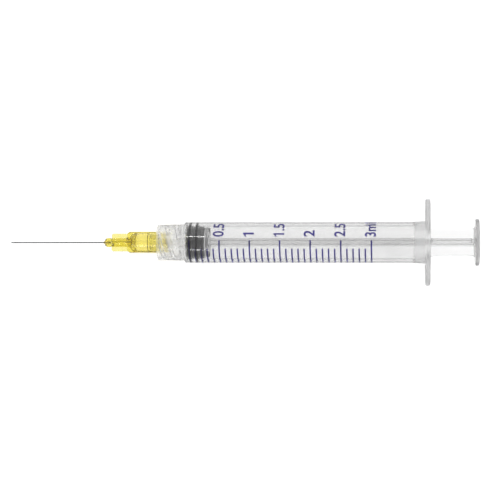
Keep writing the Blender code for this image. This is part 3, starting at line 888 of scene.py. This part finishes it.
def paint_edge_shade(tree, colour, edge):
    """Painted shade: the colour darkens towards edge where a clear wall is seen along itself, so its edges
    read as grey lines.
    """
    facing = tree.nodes.new("ShaderNodeLayerWeight")
    facing.inputs["Blend"].default_value = 0.5
    ramp = tree.nodes.new("ShaderNodeValToRGB")
    ramp.color_ramp.elements[0].position = 0.38
    ramp.color_ramp.elements[0].color = (1, 1, 1, 1)
    ramp.color_ramp.elements[1].position = 0.62
    ramp.color_ramp.elements[1].color = (*edge, 1)
    mix = tree.nodes.new("ShaderNodeMix")
    mix.data_type = "RGBA"
    mix.blend_type = "MULTIPLY"
    mix.inputs["Factor"].default_value = 1.0
    tree.links.new(facing.outputs["Facing"], ramp.inputs["Fac"])
    tree.links.new(colour, mix.inputs["A"])
    tree.links.new(ramp.outputs["Color"], mix.inputs["B"])
    return mix.outputs["Result"]


def matt_beyond(tree, roughness, station, matt):
    """Roughness that rises to at least matt beyond a station along the axis."""
    place = tree.nodes.new("ShaderNodeTexCoord")
    split = tree.nodes.new("ShaderNodeSeparateXYZ")
    rise = tree.nodes.new("ShaderNodeMapRange")
    rise.inputs["From Min"].default_value = station - MATT_EDGE
    rise.inputs["From Max"].default_value = station + MATT_EDGE
    rise.inputs["To Max"].default_value = matt
    rougher = tree.nodes.new("ShaderNodeMath")
    rougher.operation = "MAXIMUM"
    tree.links.new(place.outputs["Object"], split.inputs["Vector"])
    tree.links.new(split.outputs["Z"], rise.inputs["Value"])
    tree.links.new(roughness, rougher.inputs[0])
    tree.links.new(rise.outputs["Result"], rougher.inputs[1])
    return rougher.outputs["Value"]


def moulded_plastic(
        name, dark, light, edge, transmission, roughness, waviness, shade, depth_colour, density, matt=None):
    """Clear or tinted plastic: flow lines along the moulding, a faint haze, slightly uneven gloss and painted
    shade at its edges.

    dark and light are its two tones, edge the tone of the painted shade where walls are seen along
    themselves, and waviness the height of the flow lines. shade is what shadow rays keep, depth_colour and
    density give its absorption, and matt is a station and the least roughness beyond it.
    """
    mat, tree, shader = new_material(name)
    shader.inputs["IOR"].default_value = PLASTIC_IOR
    shader.inputs["Transmission Weight"].default_value = transmission
    darken_with_depth(tree, depth_colour, density)
    flow = noise(tree, FLOW_SCALE, 3, (1, 1, 0.12))
    cloud = noise(tree, CLOUD_SCALE, 4)
    # painted shade: the base colour darkens towards edge where a wall is seen along itself
    colour = paint_edge_shade(tree, tint(tree, cloud, dark, light), edge)
    tree.links.new(colour, shader.inputs["Base Color"])
    uneven = between(tree, cloud, roughness * 0.8, roughness * 1.25)
    if matt:
        uneven = matt_beyond(tree, uneven, *matt)
    tree.links.new(uneven, shader.inputs["Roughness"])
    bump(tree, shader, flow, waviness)
    return let_lamps_through(mat, tree, shader, shade)


def grey_rubber():
    mat, tree, shader = new_material("grey_rubber")
    grain = noise(tree, 5200, 5)
    cloud = noise(tree, 700, 3)
    colour = tint(tree, cloud, (0.012, 0.012, 0.013), (0.020, 0.020, 0.022))
    tree.links.new(colour, shader.inputs["Base Color"])
    shader.inputs["Specular IOR Level"].default_value = 0.2
    tree.links.new(between(tree, grain, 0.38, 0.55), shader.inputs["Roughness"])
    bump(tree, shader, grain, 0.01 * MM)
    return mat


def drawn_steel():
    mat, tree, shader = new_material("drawn_steel")
    shader.inputs["Metallic"].default_value = 1.0
    shader.inputs["Anisotropic"].default_value = 0.5
    lines = noise(tree, 16000, 4, (1, 1, 0.02))
    cloud = noise(tree, 900, 3)
    tree.links.new(tint(tree, cloud, (0.10, 0.10, 0.105), (0.15, 0.15, 0.157)), shader.inputs["Base Color"])
    tree.links.new(between(tree, lines, 0.22, 0.38), shader.inputs["Roughness"])
    bump(tree, shader, lines, 0.002 * MM)
    return mat


def printing_ink():
    """A thin blue-violet film that lets some light through, so that it looks darker over the stopper."""
    mat, tree, shader = new_material("printing_ink")
    shader.inputs["Transmission Weight"].default_value = 0.97
    shader.inputs["IOR"].default_value = INK_IOR
    speckle = noise(tree, 9000, 5)
    cloud = noise(tree, 1500, 3)
    colour = tint(tree, cloud, (0.040, 0.033, 0.250), (0.062, 0.050, 0.335))
    tree.links.new(colour, shader.inputs["Base Color"])
    tree.links.new(between(tree, speckle, 0.25, 0.40), shader.inputs["Roughness"])
    bump(tree, shader, speckle, 0.002 * MM)
    return mat


def floor_surface():
    """A white light table: it glows evenly, so the shadows on it stay faint."""
    mat, tree, shader = new_material("pale_floor")
    cloud = noise(tree, 30, 5)
    tree.links.new(tint(tree, cloud, (0.49, 0.49, 0.49), (0.51, 0.51, 0.51)), shader.inputs["Base Color"])
    shader.inputs["Emission Color"].default_value = (1, 1, 1, 1)
    shader.inputs["Emission Strength"].default_value = FLOOR_GLOW
    tree.links.new(between(tree, cloud, 0.85, 0.95), shader.inputs["Roughness"])
    shader.inputs["Specular IOR Level"].default_value = 0.1
    return mat


def make_floor():
    """A wide, plain sheet with a gently curled rim, just under the syringe."""
    theta = angles(FLOOR_SIDES)
    return loft("studio_floor", rings_of(theta, FLOOR_PROFILE), [floor_surface()], place=Matrix.Identity(4))


def make_world():
    """A studio dome: bright overhead, greyer towards the horizon, so that clear edges read as grey lines."""
    world = bpy.data.worlds.new("studio_dome")
    bpy.context.scene.world = world
    world.use_nodes = True
    tree = world.node_tree
    sky = tree.nodes["Background"]
    place = tree.nodes.new("ShaderNodeTexCoord")
    split = tree.nodes.new("ShaderNodeSeparateXYZ")
    ramp = tree.nodes.new("ShaderNodeValToRGB")
    while len(ramp.color_ramp.elements) < len(DOME_LEVELS):
        ramp.color_ramp.elements.new(0.5)
    for element, (position, level) in zip(ramp.color_ramp.elements, DOME_LEVELS):
        element.position = position
        element.color = (level, level, level, 1)
    tree.links.new(place.outputs["Generated"], split.inputs["Vector"])
    tree.links.new(split.outputs["Z"], ramp.inputs["Fac"])
    tree.links.new(ramp.outputs["Color"], sky.inputs["Color"])
    side = tree.nodes.new("ShaderNodeMapRange")
    side.inputs["From Min"].default_value = -1.0
    side.inputs["To Min"].default_value = DOME_DIM_SIDE
    side.inputs["To Max"].default_value = DOME_BRIGHT_SIDE
    tree.links.new(split.outputs["Y"], side.inputs["Value"])
    tree.links.new(side.outputs["Result"], sky.inputs["Strength"])


def strip_light(name, lean):
    """A long soft strip over the syringe, leaning to one side of it."""
    light = bpy.data.lights.new(name, "AREA")
    light.shape = "RECTANGLE"
    light.size = STRIP_LENGTH
    light.size_y = STRIP_WIDTH
    light.energy = STRIP_POWER
    obj = bpy.data.objects.new(name, light)
    bpy.context.scene.collection.objects.link(obj)
    obj.location = (STRIP_X, STRIP_DISTANCE * math.sin(lean), AXIS_HEIGHT + STRIP_DISTANCE * math.cos(lean))
    obj.rotation_euler = (-lean, 0.0, 0.0)


def make_camera():
    """Looks down on the syringe from over its rear half, tilted towards the needle."""
    camera = bpy.data.cameras.new("photo_camera")
    camera.lens = CAMERA_LENS
    camera.sensor_width = 36
    camera.clip_start = 0.01
    obj = bpy.data.objects.new("photo_camera", camera)
    bpy.context.scene.collection.objects.link(obj)
    obj.location = (SHOULDER_X + CAMERA_STATION, CAMERA_SIDE, AXIS_HEIGHT + CAMERA_DISTANCE)
    obj.rotation_euler = (0.0, CAMERA_TILT, 0.0)
    bpy.context.scene.camera = obj


def set_piece(piece, body, node=None):
    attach(piece, body)
    if node:
        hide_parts(node)


def clear_plastic():
    return moulded_plastic(
        "clear_plastic", dark=(0.965, 0.965, 0.965), light=(0.985, 0.985, 0.985), edge=(0.30, 0.30, 0.30),
        transmission=0.97, roughness=0.03, waviness=0.001 * MM, shade=(0.97, 0.97, 0.97),
        depth_colour=NO_COLOUR, density=38)


def frosted_plastic():
    return moulded_plastic(
        "frosted_plastic", dark=(0.95, 0.95, 0.95), light=(0.975, 0.975, 0.975), edge=(0.80, 0.80, 0.80),
        transmission=0.93, roughness=0.25, waviness=0.004 * MM, shade=(0.95, 0.95, 0.95),
        depth_colour=NO_COLOUR, density=34, matt=(STOP_RING, 0.34))


def rod_plastic():
    return moulded_plastic(
        "rod_plastic", dark=(0.985, 0.985, 0.985), light=(0.998, 0.998, 0.998), edge=(0.50, 0.50, 0.50),
        transmission=0.985, roughness=0.03, waviness=0.0006 * MM, shade=(0.97, 0.97, 0.97),
        depth_colour=NO_COLOUR, density=52, matt=(THUMB_FRONT, 0.4))


def yellow_plastic():
    return moulded_plastic(
        "yellow_plastic", dark=(0.93, 0.875, 0.53), light=(0.96, 0.905, 0.57), edge=(0.95, 0.91, 0.70),
        transmission=0.96, roughness=0.12, waviness=0.004 * MM, shade=(0.97, 0.96, 0.93),
        depth_colour=(0.905, 0.863, 0.06), density=920)


def clear_adhesive():
    return moulded_plastic(
        "clear_adhesive", dark=(0.92, 0.84, 0.42), light=(0.95, 0.88, 0.50), edge=(0.9, 0.9, 0.8),
        transmission=0.90, roughness=0.05, waviness=0.005 * MM, shade=(0.97, 0.96, 0.93),
        depth_colour=(0.85, 0.80, 0.20), density=400)


def make_pieces():
    clear = clear_plastic()
    frosted = frosted_plastic()
    rod = rod_plastic()
    yellow = yellow_plastic()
    resin = clear_adhesive()
    ink = printing_ink()
    set_piece(make_barrel(clear, frosted), "barrel", "barrel")
    set_piece(make_stopper(grey_rubber()), "stopper", "stopper")
    set_piece(make_rod(rod), "rod", "plunger_rod")
    set_piece(make_hub(yellow), "needle", "needle_hub")
    set_piece(make_cannula(drawn_steel()), "needle", "cannula")
    set_piece(make_adhesive(resin), "needle_bond", "adhesive_bead")
    set_piece(make_ticks(ink), "barrel")
    for index, body in enumerate(LABELS):
        set_piece(make_label(index, body, ink), "barrel")


def set_exposure():
    scene = bpy.context.scene
    scene.view_settings.view_transform = "Standard"
    scene.cycles.max_bounces = LIGHT_BOUNCES
    scene.cycles.transmission_bounces = LIGHT_BOUNCES
    scene.cycles.transparent_max_bounces = LIGHT_BOUNCES


make_camera()
make_world()
strip_light("strip_left", STRIP_LEFT_LEAN)
strip_light("strip_right", STRIP_RIGHT_LEAN)
make_floor()
make_pieces()
set_exposure()
